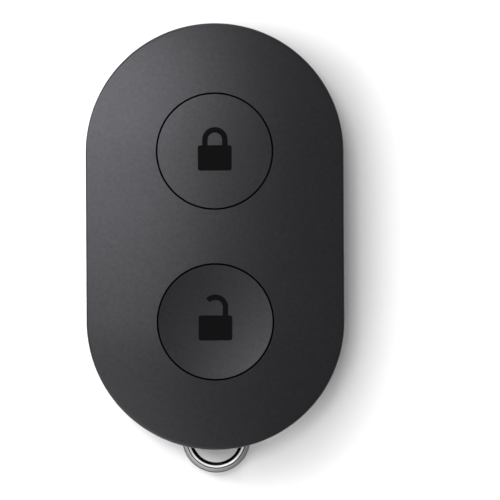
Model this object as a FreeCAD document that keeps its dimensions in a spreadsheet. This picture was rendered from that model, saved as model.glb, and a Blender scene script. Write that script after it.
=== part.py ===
import FreeCAD, Part
import math
import os
import Sketcher
from types import SimpleNamespace

# Smart lock remote key: a pill-shaped two-button key fob that lies on its back.
# Millimetres. The origin is the middle of the flat back, +Z comes out of the front face,
# +Y runs along the case towards the lock button and +X is to the right seen from the front.

SIZES = {
    # Case outline and front face
    "case_length": 60.0,
    "case_width": 36.3,
    "crown_radius": 150.0,
    "front_edge_radius": 0.35,
    "back_edge_radius": 1.5,
    "parting_height": 5.0,
    "side_wall": 1.5,
    "front_wall": 1.4,
    "back_wall": 1.2,
    "roof_overlap": 0.21,
    "tongue_thickness": 0.7,
    "tongue_height": 1.0,
    "lap_clearance": 0.1,
    # Buttons
    "button_spacing": 24.0,
    "button_radius": 8.05,
    "cap_height": 3.125,
    "button_gap": 0.18,
    "button_travel": 0.25,
    "button_wall": 1.2,
    "button_rib_thickness": 0.8,
    "button_stem_radius": 2.2,
    "parting_bevel": 0.2,
    "flange_width": 0.95,
    "flange_thickness": 0.6,
    "flange_clearance": 0.05,
    "flange_gap": 0.18,
    "dish_depth": 0.66,
    "dish_radius": 75.0,
    "collar_wall": 0.75,
    # Rubber key mat
    "mat_thickness": 0.35,
    "mat_leg": 0.7,
    "mat_clearance": 0.05,
    "mat_nub_radius": 1.6,
    "mat_nub_gap": 0.04,
    # Circuit board and what it carries
    "board_bottom": 5.1,
    "board_thickness": 0.8,
    "board_clearance": 0.3,
    "board_hole_clearance": 0.3,
    "switch_width": 5.2,
    "switch_base_height": 0.95,
    "switch_floor": 0.25,
    "switch_well_radius": 1.95,
    "switch_plate": 0.15,
    "plunger_radius": 1.25,
    "plunger_clearance": 0.08,
    "plunger_height": 0.3,
    "plunger_foot": 0.2,
    "plunger_foot_radius": 1.7,
    "dome_radius": 1.75,
    "dome_rise": 0.2,
    "dome_thickness": 0.08,
    "terminal_width": 0.7,
    "terminal_reach": 0.8,
    "terminal_pitch": 3.4,
    "terminal_thickness": 0.15,
    "chip_width": 5.0,
    "chip_height": 0.85,
    "chip_offset": 1.5,
    "crystal_length": 3.2,
    "crystal_width": 2.5,
    "crystal_height": 0.7,
    "antenna_length": 9.0,
    "antenna_width": 2.0,
    "antenna_height": 1.1,
    "antenna_mat_gap": 0.6,
    "passive_length": 1.0,
    "passive_width": 0.5,
    "passive_height": 0.45,
    "passive_pitch": 1.3,
    "passive_gap": 1.75,
    # Coin cell and its contacts
    "cell_radius": 10.0,
    "cell_height": 3.2,
    "cell_wall": 0.3,
    "cell_lip": 0.8,
    "cell_gasket": 0.4,
    "cell_cap_inset": 1.4,
    "cell_cap_wall": 0.2,
    "cell_cap_gap": 0.02,
    "cell_lip_drop": 0.1,
    "cell_seat_gap": 0.1,
    "cell_side_gap": 0.2,
    "contact_thickness": 0.2,
    "contact_width": 4.0,
    "contact_foot": 2.2,
    "contact_touch_gap": 0.04,
    "contact_root": 0.5,
    "contact_flare": 0.4,
    "contact_door_gap": 0.3,
    "contact_spring_reach": 7.0,
    "contact_heel": 0.2,
    "contact_toe": 1.0,
    "contact_tip": 1.6,
    # Battery door
    "door_overlap": 1.2,
    "door_clearance": 0.1,
    "door_recess": 0.2,
    "door_flange": 0.7,
    "door_plate": 1.0,
    "door_turn": 35.0,
    "neck_wall": 0.6,
    "ledge_thickness": 0.7,
    "lug_reach": 1.2,
    "lug_height": 0.7,
    "lug_angle": 22.0,
    "lug_clearance": 0.1,
    "lug_play": 2.0,
    "coin_slot_length": 15.0,
    "coin_slot_width": 1.8,
    "coin_slot_depth": 0.5,
    "seal_thickness": 0.22,
    "seal_clearance": 0.03,
    "well_wall": 1.0,
    "well_gap": 0.4,
    "cell_rib_thickness": 0.9,
    "cell_rib_offset": 2.5,
    "cell_rib_gap": 0.3,
    # Key ring, its pin and its slot
    "ring_inner_radius": 3.34,
    "ring_wire_radius": 0.74,
    "ring_inset": 1.5,
    "ring_height": 3.1,
    "ring_swing": 60.0,
    "ring_end_gap": 0.3,
    "slot_height": 2.0,
    "slot_wall": 1.2,
    "pin_radius": 0.95,
    "pin_ring_gap": 0.05,
    "pin_hole_gap": 0.02,
    "pin_floor": 0.9,
    "pin_bevel": 0.24,
    # Case screws
    "screw_mat_gap": 0.72,
    "screw_along": 26.0,
    "screw_radius": 0.75,
    "screw_hole_gap": 0.2,
    "screw_head_radius": 1.4,
    "screw_head_height": 0.9,
    "screw_head_gap": 0.2,
    "screw_head_recess": 0.4,
    "screw_engagement": 2.0,
    "screw_cross_width": 0.4,
    "screw_cross_depth": 0.5,
    "screw_cross_reach": 0.84,
    "pilot_room": 0.1,
    "post_wall": 1.1,
    "boss_wall": 1.1,
    "pilot_gap": 0.04,
}


class Size:
    """A number together with the sheet expression that it comes from."""

    def __init__(self, value, text):
        self.value = value
        self.text = text

    def joined(self, other, sign, value):
        right = other.text if isinstance(other, Size) else repr(float(other))
        return Size(value, "(" + self.text + " " + sign + " " + right + ")")

    def __add__(self, other):
        return self.joined(other, "+", self.value + plain(other))

    def __sub__(self, other):
        return self.joined(other, "-", self.value - plain(other))

    def __mul__(self, other):
        return self.joined(other, "*", self.value * plain(other))

    def __truediv__(self, other):
        return self.joined(other, "/", self.value / plain(other))

    def __neg__(self):
        return Size(-self.value, "(-1 * " + self.text + ")")


def plain(number):
    """The value of a Size, or the number itself."""
    return number.value if isinstance(number, Size) else float(number)


def root(size):
    """Square root of a Size."""
    return Size(math.sqrt(size.value), "sqrt(" + size.text + ")")


def cosine(degrees):
    """Cosine of an angle in degrees."""
    return Size(math.cos(math.radians(degrees.value)), "cos(" + degrees.text + ")")


def sine(degrees):
    """Sine of an angle in degrees."""
    return Size(math.sin(math.radians(degrees.value)), "sin(" + degrees.text + ")")


doc = FreeCAD.newDocument("RemoteKey")
sheet = doc.addObject("Spreadsheet::Sheet", "Sizes")
for row, (name, value) in enumerate(SIZES.items(), start=1):
    sheet.set("A%d" % row, name)
    sheet.set("B%d" % row, str(value))
    sheet.setAlias("B%d" % row, name)
doc.recompute()
dim = SimpleNamespace(**{name: Size(value, "Sizes." + name) for name, value in SIZES.items()})
SIDES = (1, -1)


def tie(thing, path, size):
    """Binds one property or constraint to the sheet."""
    if isinstance(size, Size):
        thing.setExpression(path, size.text)


class Drawing:
    """A sketch on one of a body's own planes, shifted to a place that comes from the sheet."""

    def __init__(self, body, name, plane="XY_Plane", height=0, across=0, along=0):
        self.sketch = body.newObject("Sketcher::SketchObject", name)
        faces = [feature for feature in body.Origin.OriginFeatures if feature.Role == plane]
        self.sketch.AttachmentSupport = [(faces[0], "")]
        self.sketch.MapMode = "FlatFace"
        shift = FreeCAD.Vector(plain(across), plain(along), plain(height))
        self.sketch.AttachmentOffset = FreeCAD.Placement(shift, FreeCAD.Rotation())
        tie(self.sketch, ".AttachmentOffset.Base.x", across)
        tie(self.sketch, ".AttachmentOffset.Base.y", along)
        tie(self.sketch, ".AttachmentOffset.Base.z", height)

    def fix(self, kind, reference, size):
        """One dimension of the sketch, bound to the sheet."""
        number = self.sketch.addConstraint(Sketcher.Constraint(kind, *reference, plain(size)))
        tie(self.sketch, "Constraints[%d]" % number, size)

    def place(self, geometry, point, x, y):
        """Puts a point of the sketch at x, y from the sketch's origin."""
        for kind, axis, size in (("DistanceX", -2, x), ("DistanceY", -1, y)):
            if isinstance(size, Size):
                self.fix(kind, (-1, 1, geometry, point), size)
            else:
                self.sketch.addConstraint(Sketcher.Constraint("PointOnObject", geometry, point, axis))

    def circle(self, x, y, radius):
        """A circle around x, y."""
        centre = FreeCAD.Vector(plain(x), plain(y), 0)
        number = self.sketch.addGeometry(Part.Circle(centre, FreeCAD.Vector(0, 0, 1), plain(radius)), False)
        self.place(number, 3, x, y)
        self.fix("Radius", (number,), radius)
        return self

    def outline(self, *points):
        """A closed outline through points (x, y). One with a radius, (x, y, radius), ends an arc
        that turns left, and one with a radius and True ends an arc that turns right."""
        spots = [FreeCAD.Vector(plain(point[0]), plain(point[1]), 0) for point in points]
        edges = []
        for index, point in enumerate(points):
            start = spots[index - 1]
            end = spots[index]
            right = len(point) == 4
            if len(point) == 2:
                edge = Part.LineSegment(start, end)
            elif right:
                edge = left_arc(end, start, plain(point[2]))
            else:
                edge = left_arc(start, end, plain(point[2]))
            number = self.sketch.addGeometry(edge, False)
            edges.append((number, 2, 1) if right else (number, 1, 2))
            if len(point) > 2:
                self.fix("Radius", (number,), point[2])
        for index, point in enumerate(points):
            number, _, end = edges[index]
            following, start, _ = edges[(index + 1) % len(points)]
            self.sketch.addConstraint(Sketcher.Constraint("Coincident", number, end, following, start))
            self.place(number, end, point[0], point[1])
        return self

    def box(self, width, depth, x=0, y=0):
        """A rectangle around x, y."""
        left = x - width / 2 if isinstance(x, Size) else -(width / 2)
        right = x + width / 2 if isinstance(x, Size) else width / 2
        low = y - depth / 2 if isinstance(y, Size) else -(depth / 2)
        high = y + depth / 2 if isinstance(y, Size) else depth / 2
        return self.outline((left, low), (right, low), (right, high), (left, high))

    def pill(self, half_straight, radius):
        """Two half circles joined by straight sides, long along y."""
        up = FreeCAD.Vector(0, plain(half_straight), 0)
        out = FreeCAD.Vector(plain(radius), 0, 0)
        turn = FreeCAD.Vector(0, 0, 1)
        top = self.sketch.addGeometry(Part.ArcOfCircle(Part.Circle(up, turn, plain(radius)), 0, math.pi))
        left = self.sketch.addGeometry(Part.LineSegment(up - out, -up - out))
        bottom = self.sketch.addGeometry(
            Part.ArcOfCircle(Part.Circle(-up, turn, plain(radius)), math.pi, 2 * math.pi))
        right = self.sketch.addGeometry(Part.LineSegment(-up + out, up + out))
        loop = (top, left, bottom, right)
        for index, edge in enumerate(loop):
            following = loop[(index + 1) % len(loop)]
            self.sketch.addConstraint(Sketcher.Constraint("Tangent", edge, 2, following, 1))
        self.place(top, 3, 0, half_straight)
        self.place(bottom, 3, 0, -half_straight)
        self.fix("Radius", (top,), radius)
        self.fix("Radius", (bottom,), radius)
        return self


def left_arc(start, end, radius):
    """The shorter arc from start to end that turns to the left."""
    chord = end - start
    rise = math.sqrt(max(radius * radius - chord.Length ** 2 / 4, 0))
    aside = FreeCAD.Vector(-chord.y, chord.x, 0) / chord.Length
    centre = (start + end) / 2 + aside * rise
    first = math.atan2(start.y - centre.y, start.x - centre.x)
    last = math.atan2(end.y - centre.y, end.x - centre.x)
    circle = Part.Circle(centre, FreeCAD.Vector(0, 0, 1), radius)
    return Part.ArcOfCircle(circle, first, last if last > first else last + 2 * math.pi)


def new_body(name):
    """A named piece of the fob."""
    return doc.addObject("PartDesign::Body", name)


def feature(body, kind, drawing, settings, growing):
    """Adds one sketch-based feature and makes sure that it changed the solid the right way."""
    before = body.Shape.Volume if body.Tip else 0.0
    made = body.newObject("PartDesign::" + kind, kind)
    made.Profile = drawing.sketch
    for path, setting in settings.items():
        if isinstance(setting, Size):
            setattr(made, path, setting.value)
            tie(made, path, setting)
        else:
            setattr(made, path, setting)
    doc.recompute()
    after = body.Shape.Volume
    if (after <= before) if growing else (after >= before):
        raise RuntimeError("%s of %s changed nothing" % (kind, body.Label))
    return made


def pad(body, drawing, length, down=False, middle=False):
    """Grows a drawing along its normal."""
    settings = {"Length": length, "Reversed": down, "Midplane": middle}
    return feature(body, "Pad", drawing, settings, True)


def pocket(body, drawing, length, up=False, middle=False):
    """Cuts a drawing into the solid, downwards unless told otherwise."""
    settings = {"Length": length, "Reversed": up, "Midplane": middle}
    return feature(body, "Pocket", drawing, settings, False)


def revolve(body, drawing, angle=360, back=False):
    """Turns a drawing about its own upright axis."""
    settings = {"ReferenceAxis": (drawing.sketch, ["V_Axis"]), "Angle": angle, "Reversed": back}
    return feature(body, "Revolution", drawing, settings, True)


def groove(body, drawing, angle=360, back=False):
    """Cuts a drawing turned about its own upright axis."""
    settings = {"ReferenceAxis": (drawing.sketch, ["V_Axis"]), "Angle": angle, "Reversed": back}
    return feature(body, "Groove", drawing, settings, False)


def turned_copies(body, made, drawing, count):
    """Repeats a feature about the upright axis through its drawing's origin."""
    pattern = body.newObject("PartDesign::PolarPattern", "PolarPattern")
    pattern.Originals = [made]
    pattern.Axis = (drawing.sketch, ["N_Axis"])
    pattern.Angle = 360
    pattern.Occurrences = count
    body.Tip = pattern
    doc.recompute()
    return pattern


def dressed(body, kind, path, size, wanted):
    """Rounds or bevels every edge that the test picks."""
    tip = body.Tip
    names = ["Edge%d" % number for number, edge in enumerate(tip.Shape.Edges, start=1) if wanted(edge)]
    made = body.newObject("PartDesign::" + kind, kind)
    made.Base = (tip, names)
    setattr(made, path, size.value)
    tie(made, path, size)
    doc.recompute()
    return made


def rounded(body, radius, wanted):
    """Rounds the edges that the test picks."""
    return dressed(body, "Fillet", "Radius", radius, wanted)


def bevelled(body, size, wanted):
    """Bevels the edges that the test picks."""
    return dressed(body, "Chamfer", "Size", size, wanted)


# Heights and radii that several pieces share
half_width = dim.case_width / 2
half_straight = (dim.case_length - dim.case_width) / 2
inner_radius = half_width - dim.side_wall
board_top = dim.board_bottom + dim.board_thickness
switch_top = board_top + dim.switch_base_height + dim.switch_plate
plunger_top = switch_top + dim.plunger_height
mat_bottom = plunger_top + dim.mat_clearance + dim.button_travel / 2
mat_top = mat_bottom + dim.mat_thickness
cap_bottom = mat_top + dim.mat_clearance
flange_top = cap_bottom + dim.flange_thickness
flange_radius = dim.button_radius + dim.flange_width
opening_radius = dim.button_radius + dim.button_gap
flange_bore = flange_radius + dim.flange_gap
collar_radius = flange_bore + dim.collar_wall
case_height = cap_bottom + dim.cap_height
roof_height = case_height - dim.front_wall
cell_bottom = dim.door_recess + dim.door_plate + dim.cell_seat_gap
cell_top = cell_bottom + dim.cell_height
neck_radius = dim.cell_radius + dim.cell_side_gap + dim.neck_wall
door_radius = neck_radius + dim.door_overlap
flange_back = dim.door_recess + dim.door_flange
ledge_bottom = flange_back + dim.seal_thickness + dim.seal_clearance
ledge_top = ledge_bottom + dim.ledge_thickness
lug_radius = neck_radius + dim.lug_reach
lug_bottom = ledge_top + dim.lug_clearance
neck_top = lug_bottom + dim.lug_height
well_radius = lug_radius + dim.well_gap
ring_radius = dim.ring_inner_radius + dim.ring_wire_radius
ring_outer_radius = ring_radius + dim.ring_wire_radius
pin_offset = dim.ring_inner_radius - dim.pin_radius - dim.pin_ring_gap
ring_centre = dim.case_length / 2 - dim.ring_inset
pin_centre = ring_centre - pin_offset
slot_middle = pin_centre + pin_offset * cosine(dim.ring_swing)
slot_half = pin_offset * sine(dim.ring_swing)
slot_radius = ring_outer_radius + dim.ring_end_gap
slot_bottom = dim.ring_height - dim.slot_height / 2
slot_top = dim.ring_height + dim.slot_height / 2
screw_seat = dim.screw_head_recess + dim.screw_head_height
boss_radius = dim.screw_radius + dim.boss_wall
screw_across = collar_radius + dim.screw_mat_gap + boss_radius
cell_cap_radius = dim.cell_radius - dim.cell_cap_inset
crystal_across = dim.chip_width / 2 + dim.chip_offset
antenna_along = dim.button_spacing / 2 + collar_radius + dim.antenna_mat_gap + dim.antenna_width / 2


def corners():
    """The four places of the case screws."""
    return [(screw_across * x, dim.screw_along / 2 * y) for x in SIDES for y in SIDES]


def crown_section(top, radius, bottom, half, corner, whole):
    """The case's cross-section under its crown, drawn whole or from the middle line out.
    Its upright sides end in a rounded corner, or in a sharp one where no corner radius is given."""
    centre = top - radius
    if corner:
        near = radius - corner
        inset = half - corner
        side = centre + root(near * near - inset * inset)
        corner_x = inset * radius / near
        corner_z = centre + (side - centre) * radius / near
        shoulder = ((half, side), (corner_x, corner_z, corner))
        far_shoulder = ((-corner_x, corner_z, radius), (-half, side, corner))
    else:
        side = centre + root(radius * radius - half * half)
        shoulder = ((half, side),)
        far_shoulder = ((-half, side, radius),)
    if whole:
        return ((-half, bottom), (half, bottom), *shoulder, *far_shoulder)
    return ((0, bottom), (half, bottom), *shoulder, (0, top, radius))


def crowned(body, name, top, radius, bottom, half, corner=None, cutting=False):
    """A crowned pill: one section drawn along the middle and turned about both end centres."""
    straight = Drawing(body, name + "Middle", "XZ_Plane")
    straight.outline(*crown_section(top, radius, bottom, half, corner, True))
    along = half_straight * 2
    if cutting:
        pocket(body, straight, along, middle=True)
    else:
        pad(body, straight, along, middle=True)
    for side in SIDES:
        end = Drawing(body, name + "End", "XZ_Plane", height=half_straight * -side)
        end.outline(*crown_section(top, radius, bottom, half, corner, False))
        turn = groove if cutting else revolve
        turn(body, end, angle=180, back=side < 0)


def slot_outline(drawing, radius):
    """The slot's shape: round inside, and straight out past the end of the case."""
    wide = slot_half + radius
    beyond = -dim.case_length
    high = radius - slot_middle
    drawing.outline((-wide, beyond), (wide, beyond), (wide, -slot_middle), (slot_half, high, radius),
                    (-slot_half, high), (-wide, -slot_middle, radius))
    return drawing


def rear_cover():
    """The back shell, with the battery opening, the screw posts and the block that holds the key ring."""
    body = new_body("rear_cover")
    pad(body, Drawing(body, "Outline").pill(half_straight, half_width), dim.parting_height)
    hollow = Drawing(body, "Hollow", height=dim.parting_height).pill(half_straight, inner_radius)
    pocket(body, hollow, dim.parting_height - dim.back_wall)
    block = slot_outline(Drawing(body, "RingBlock", height=dim.back_wall), slot_radius + dim.slot_wall)
    pad(body, block, dim.parting_height - dim.back_wall)
    outside = Drawing(body, "Outside", height=dim.parting_height)
    outside.box(dim.case_width * 2, dim.case_length * 3).pill(half_straight, half_width)
    pocket(body, outside, dim.parting_height)
    slot = slot_outline(Drawing(body, "Slot", height=slot_top), slot_radius)
    pocket(body, slot, dim.slot_height)
    pin_hole = Drawing(body, "PinHole", height=dim.parting_height)
    pin_hole.circle(0, -pin_centre, dim.pin_radius + dim.pin_hole_gap)
    pocket(body, pin_hole, dim.parting_height - dim.pin_floor)
    tongue = Drawing(body, "Tongue", height=dim.parting_height)
    tongue.pill(half_straight, inner_radius + dim.tongue_thickness).pill(half_straight, inner_radius)
    pad(body, tongue, dim.tongue_height)
    post = dim.screw_radius + dim.screw_hole_gap
    posts = Drawing(body, "Posts", height=dim.back_wall)
    holes = Drawing(body, "Holes", height=dim.board_bottom)
    seats = Drawing(body, "Seats")
    for x, y in corners():
        posts.circle(x, y, post + dim.post_wall)
        holes.circle(x, y, post)
        seats.circle(x, y, dim.screw_head_radius + dim.screw_head_gap)
    pad(body, posts, dim.board_bottom - dim.back_wall)
    pocket(body, holes, dim.board_bottom)
    pocket(body, seats, screw_seat, up=True)
    ledge = Drawing(body, "Ledge", height=dim.back_wall).circle(0, 0, well_radius + dim.well_wall)
    pad(body, ledge, ledge_top - dim.back_wall)
    recess = Drawing(body, "DoorRecess").circle(0, 0, door_radius + dim.door_clearance)
    pocket(body, recess, ledge_bottom, up=True)
    opening = Drawing(body, "BatteryOpening", height=ledge_top)
    opening.circle(0, 0, neck_radius + dim.door_clearance)
    pocket(body, opening, ledge_top)
    notch = Drawing(body, "Notch", height=ledge_top)
    lug_outline(notch, dim.door_turn / 2, dim.lug_angle + dim.lug_play, lug_radius + dim.lug_clearance)
    turned_copies(body, pocket(body, notch, dim.ledge_thickness), notch, 3)
    wall = Drawing(body, "BatteryWell", height=ledge_top)
    wall.circle(0, 0, well_radius + dim.well_wall).circle(0, 0, well_radius)
    pad(body, wall, dim.parting_height - ledge_top)
    for side in SIDES:
        battery_ribs(body, side)
    rounded(body, dim.back_edge_radius, on_outer_edge(0, half_width))
    bevelled(body, dim.parting_bevel, on_outer_edge(dim.parting_height, half_width))
    return body


def lug_outline(drawing, middle, angle, reach):
    """A lug's shape: straight flanks that start inside the door's neck, and a round end."""
    start = middle - angle / 2
    end = middle + angle / 2
    inner = neck_radius - dim.neck_wall / 2
    drawing.outline((inner * cosine(start), inner * sine(start)),
                    (reach * cosine(start), reach * sine(start)),
                    (reach * cosine(end), reach * sine(end), reach),
                    (inner * cosine(end), inner * sine(end)))


def battery_ribs(body, side):
    """Three stepped ribs that steady the coin cell, clear of the path of the door's lugs."""
    rib = Drawing(body, "CellRib", "XZ_Plane", height=dim.cell_rib_offset * side)
    inside = dim.cell_radius + dim.cell_rib_gap
    step = neck_radius + dim.cell_rib_gap
    low = neck_top + dim.cell_rib_gap
    foot = ledge_top - dim.ledge_thickness / 2
    outside = well_radius + dim.well_wall / 2
    top = dim.parting_height
    rib.outline((-outside, top), (-outside, foot), (-step, foot), (-step, low), (-inside, low),
                (-inside, top))
    upright = Drawing(body, "RibAxis").circle(0, 0, dim.cell_radius)
    turned_copies(body, pad(body, rib, dim.cell_rib_thickness, middle=True), upright, 3)


def on_outer_edge(height, reach):
    """A test for the edges at one height that run around the case's outside."""
    def wanted(edge):
        box = edge.BoundBox
        level = abs(box.ZMin - plain(height)) < 1e-4 and abs(box.ZMax - plain(height)) < 1e-4
        spots = edge.Vertexes
        return level and all(from_middle_line(spot.Point) > plain(reach) - 1e-3 for spot in spots)
    return wanted


def from_middle_line(spot):
    """How far a point stands from the straight line between the two end centres."""
    past = max(abs(spot.y) - half_straight.value, 0)
    return math.hypot(spot.x, past)


def front_cover():
    """The crowned front shell, with two button openings, their collars and the screw bosses."""
    body = new_body("front_cover")
    crowned(body, "Crown", case_height, dim.crown_radius, dim.parting_height, half_width,
            dim.front_edge_radius)
    crowned(body, "Hollow", roof_height, dim.crown_radius - dim.front_wall, dim.parting_height,
            inner_radius, cutting=True)
    rebate = Drawing(body, "Rebate", height=dim.parting_height)
    rebate.pill(half_straight, inner_radius + dim.tongue_thickness + dim.lap_clearance)
    pocket(body, rebate, dim.tongue_height + dim.lap_clearance, up=True)
    inside = roof_height + dim.roof_overlap
    collars = Drawing(body, "Collars", height=cap_bottom)
    bores = Drawing(body, "Bores", height=dim.parting_height)
    seats = Drawing(body, "FlangeSeats", height=cap_bottom)
    for side in SIDES:
        middle = dim.button_spacing / 2 * side
        collars.circle(0, middle, collar_radius)
        bores.circle(0, middle, opening_radius)
        seats.circle(0, middle, flange_bore)
    pad(body, collars, inside - cap_bottom)
    pocket(body, bores, case_height, up=True)
    pocket(body, seats, dim.flange_thickness + dim.flange_clearance, up=True)
    bosses = Drawing(body, "Bosses", height=board_top)
    pilots = Drawing(body, "Pilots", height=board_top)
    for x, y in corners():
        bosses.circle(x, y, boss_radius)
        pilots.circle(x, y, dim.screw_radius + dim.pilot_gap)
    pad(body, bosses, inside - board_top)
    pocket(body, pilots, dim.screw_engagement + dim.pilot_room, up=True)
    bevelled(body, dim.parting_bevel, on_outer_edge(dim.parting_height, half_width))
    return body


def button(name, side, dished):
    """A key cap: a skirt with a retaining flange, a crowned or dished top, a stem and ribs."""
    body = new_body(name)
    middle = dim.button_spacing / 2 * side
    crowned(body, "Crown", case_height, dim.crown_radius, cap_bottom, half_width)
    around = Drawing(body, "Around", height=case_height, along=middle)
    around.box(dim.case_width * 2, dim.case_length * 3).circle(0, 0, dim.button_radius)
    pocket(body, around, case_height)
    if dished:
        top = case_height + dim.dish_depth
        low = case_height - dim.dish_depth
        wide = opening_radius
        high = low + dim.dish_radius - root(dim.dish_radius * dim.dish_radius - wide * wide)
        dish = Drawing(body, "Dish", "XZ_Plane", height=-middle)
        dish.outline((0, low), (wide, high, dim.dish_radius), (wide, top), (0, top))
        groove(body, dish)
    flange = Drawing(body, "Flange", height=cap_bottom, along=middle).circle(0, 0, flange_radius)
    pad(body, flange, dim.flange_thickness)
    hollow = Drawing(body, "Hollow", height=cap_bottom, along=middle)
    hollow.circle(0, 0, dim.button_radius - dim.button_wall)
    depth = case_height - dim.dish_depth - dim.button_wall - cap_bottom
    pocket(body, hollow, depth, up=True)
    stem = Drawing(body, "Stem", height=cap_bottom, along=middle).circle(0, 0, dim.button_stem_radius)
    pad(body, stem, depth)
    rib = Drawing(body, "Rib", height=cap_bottom + dim.flange_thickness / 2, along=middle)
    rib.outline((dim.button_stem_radius / 2, -(dim.button_rib_thickness / 2)),
                (dim.button_radius - dim.button_wall / 2, -(dim.button_rib_thickness / 2)),
                (dim.button_radius - dim.button_wall / 2, dim.button_rib_thickness / 2),
                (dim.button_stem_radius / 2, dim.button_rib_thickness / 2))
    turned_copies(body, pad(body, rib, depth - dim.flange_thickness / 2), rib, 6)
    return body


def key_mat():
    """The rubber mat between caps and switches, on a leg all round and with a nub over each switch."""
    body = new_body("key_mat")
    spacing = dim.button_spacing / 2
    pad(body, Drawing(body, "Sheet", height=mat_bottom).pill(spacing, collar_radius), dim.mat_thickness)
    leg = Drawing(body, "Leg", height=board_top)
    leg.pill(spacing, collar_radius).pill(spacing, collar_radius - dim.mat_leg)
    pad(body, leg, mat_bottom - board_top)
    nubs = Drawing(body, "Nubs", height=mat_bottom)
    for side in SIDES:
        nubs.circle(0, spacing * side, dim.mat_nub_radius)
    pad(body, nubs, mat_bottom - plunger_top - dim.mat_nub_gap, down=True)
    return body


def circuit_board():
    """The board, clamped by the four screws between the posts and the bosses."""
    body = new_body("circuit_board")
    board = Drawing(body, "Outline", height=dim.board_bottom)
    board.pill(half_straight, inner_radius - dim.board_clearance)
    for x, y in corners():
        board.circle(x, y, dim.screw_radius + dim.board_hole_clearance)
    pad(body, board, dim.board_thickness)
    return body


def switch(name, side):
    """A low push switch in five pieces: base, plate, plunger, snap dome and solder terminals."""
    middle = dim.button_spacing / 2 * side
    base = new_body(name + "_switch_base")
    floor = Drawing(base, "Base", height=board_top, along=middle).box(dim.switch_width, dim.switch_width)
    pad(base, floor, dim.switch_base_height)
    well = Drawing(base, "Well", height=board_top + dim.switch_base_height, along=middle)
    pocket(base, well.circle(0, 0, dim.switch_well_radius), dim.switch_base_height - dim.switch_floor)
    plate = new_body(name + "_switch_plate")
    lid = Drawing(plate, "Plate", height=board_top + dim.switch_base_height, along=middle)
    lid.box(dim.switch_width, dim.switch_width).circle(0, 0, dim.plunger_radius + dim.plunger_clearance)
    pad(plate, lid, dim.switch_plate)
    plunger = new_body(name + "_switch_plunger")
    under = board_top + dim.switch_base_height - dim.plunger_clearance
    turned = Drawing(plunger, "Section", "XZ_Plane", height=-middle)
    turned.outline((0, under - dim.plunger_foot), (dim.plunger_foot_radius, under - dim.plunger_foot),
                   (dim.plunger_foot_radius, under), (dim.plunger_radius, under),
                   (dim.plunger_radius, plunger_top), (0, plunger_top))
    revolve(plunger, turned)
    dome = new_body(name + "_switch_dome")
    low = board_top + dim.switch_floor
    skin = dim.dome_thickness
    sphere = (dim.dome_radius * dim.dome_radius + dim.dome_rise * dim.dome_rise) / (dim.dome_rise * 2)
    shell = Drawing(dome, "Section", "XZ_Plane", height=-middle)
    shell.outline((dim.dome_radius, low, sphere, True), (dim.dome_radius, low + skin),
                  (0, low + skin + dim.dome_rise, sphere), (0, low + dim.dome_rise))
    revolve(dome, shell)
    terminals = new_body(name + "_switch_terminals")
    terminals.AllowCompound = True
    feet = Drawing(terminals, "Feet", height=board_top, along=middle)
    for x in SIDES:
        for y in SIDES:
            reach = (dim.switch_width + dim.terminal_reach) / 2
            feet.box(dim.terminal_reach, dim.terminal_width, reach * x, dim.terminal_pitch / 2 * y)
    pad(terminals, feet, dim.terminal_thickness)
    return [base, plate, plunger, dome, terminals]


def chip(name, width, depth, height, x, y):
    """A surface-mounted component: one plain block on the board."""
    body = new_body(name)
    pad(body, Drawing(body, "Body", height=board_top).box(width, depth, x, y), height)
    return body


def passives(name, row, count):
    """A row of small two-ended components beside the radio chip."""
    body = new_body(name)
    body.AllowCompound = True
    seats = Drawing(body, "Seats", height=board_top)
    for place in range(count):
        along = dim.passive_pitch * (place - (count - 1) / 2)
        seats.box(dim.passive_length, dim.passive_width, row, along)
    pad(body, seats, dim.passive_height)
    return body


def coin_cell():
    """The coin cell in three pieces: steel can, steel cap and the gasket that parts them."""
    can = new_body("battery_can")
    lip = cell_top - dim.cell_lip_drop
    under = lip - dim.cell_wall
    inner = dim.cell_radius - dim.cell_wall
    mouth = dim.cell_radius - dim.cell_lip
    floor = cell_bottom + dim.cell_wall
    section = Drawing(can, "Section", "XZ_Plane")
    section.outline((0, cell_bottom), (dim.cell_radius, cell_bottom), (dim.cell_radius, lip), (mouth, lip),
                    (mouth, under), (inner, under), (inner, floor), (0, floor))
    revolve(can, section)
    gasket = new_body("battery_gasket")
    wall = inner - dim.cell_gasket
    seat = under - dim.cell_wall / 2
    bore = cell_cap_radius + dim.cell_cap_gap
    rise = cell_top - dim.cell_wall / 2
    ring = Drawing(gasket, "Section", "XZ_Plane")
    ring.outline((wall, floor), (inner, floor), (inner, under), (mouth, under), (mouth, rise),
                 (bore, rise), (bore, seat), (wall, seat))
    revolve(gasket, ring)
    cap = new_body("battery_cap")
    skin = dim.cell_cap_wall
    hat = Drawing(cap, "Section", "XZ_Plane")
    hat.outline((0, cell_top - skin), (cell_cap_radius - skin, cell_top - skin),
                (cell_cap_radius - skin, seat - skin), (wall, seat - skin), (wall, seat),
                (cell_cap_radius, seat), (cell_cap_radius, cell_top), (0, cell_top))
    revolve(cap, hat)
    return [can, gasket, cap]


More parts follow.
